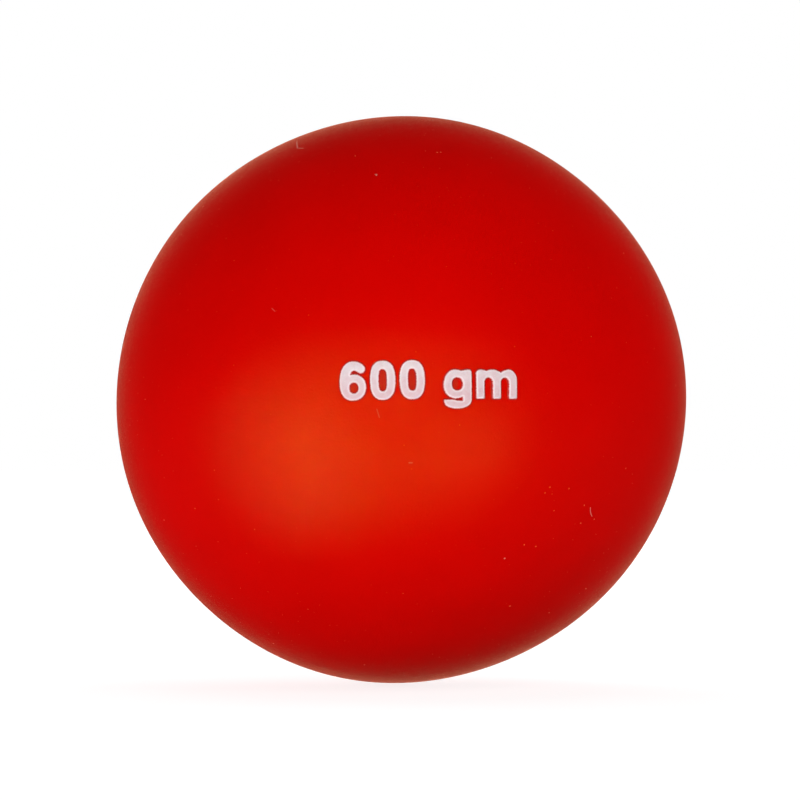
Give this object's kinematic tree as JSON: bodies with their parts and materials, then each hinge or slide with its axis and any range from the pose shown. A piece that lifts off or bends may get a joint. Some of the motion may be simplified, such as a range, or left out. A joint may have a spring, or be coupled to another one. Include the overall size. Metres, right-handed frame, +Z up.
{
  "type": "javelin training ball",
  "caption": "Soft moulded throwing ball with a plugged filling hole, a dry sand filling and its weight in raised white characters.",
  "frame": {"origin": "centre of the ball", "axes": "+Z up, square to the level sand; the weight mark faces -Y and reads along +X; the filler plug faces +Y"},
  "size_m": [0.095, 0.0958, 0.095],
  "materials": {
    "shell_vinyl": "satin red soft vinyl",
    "plug_vinyl": "satin dark red soft vinyl",
    "dry_sand": "dry fine sand",
    "mark_paint": "matt white paint on raised vinyl"
  },
  "bodies": {
    "root": {"shell": "shell_vinyl", "filler_plug": "plug_vinyl", "sand_fill": "dry_sand", "figure_6": "mark_paint", "figure_0_first": "mark_paint", "figure_0_second": "mark_paint", "letter_g": "mark_paint", "letter_m": "mark_paint"}
  },
  "joints": []
}
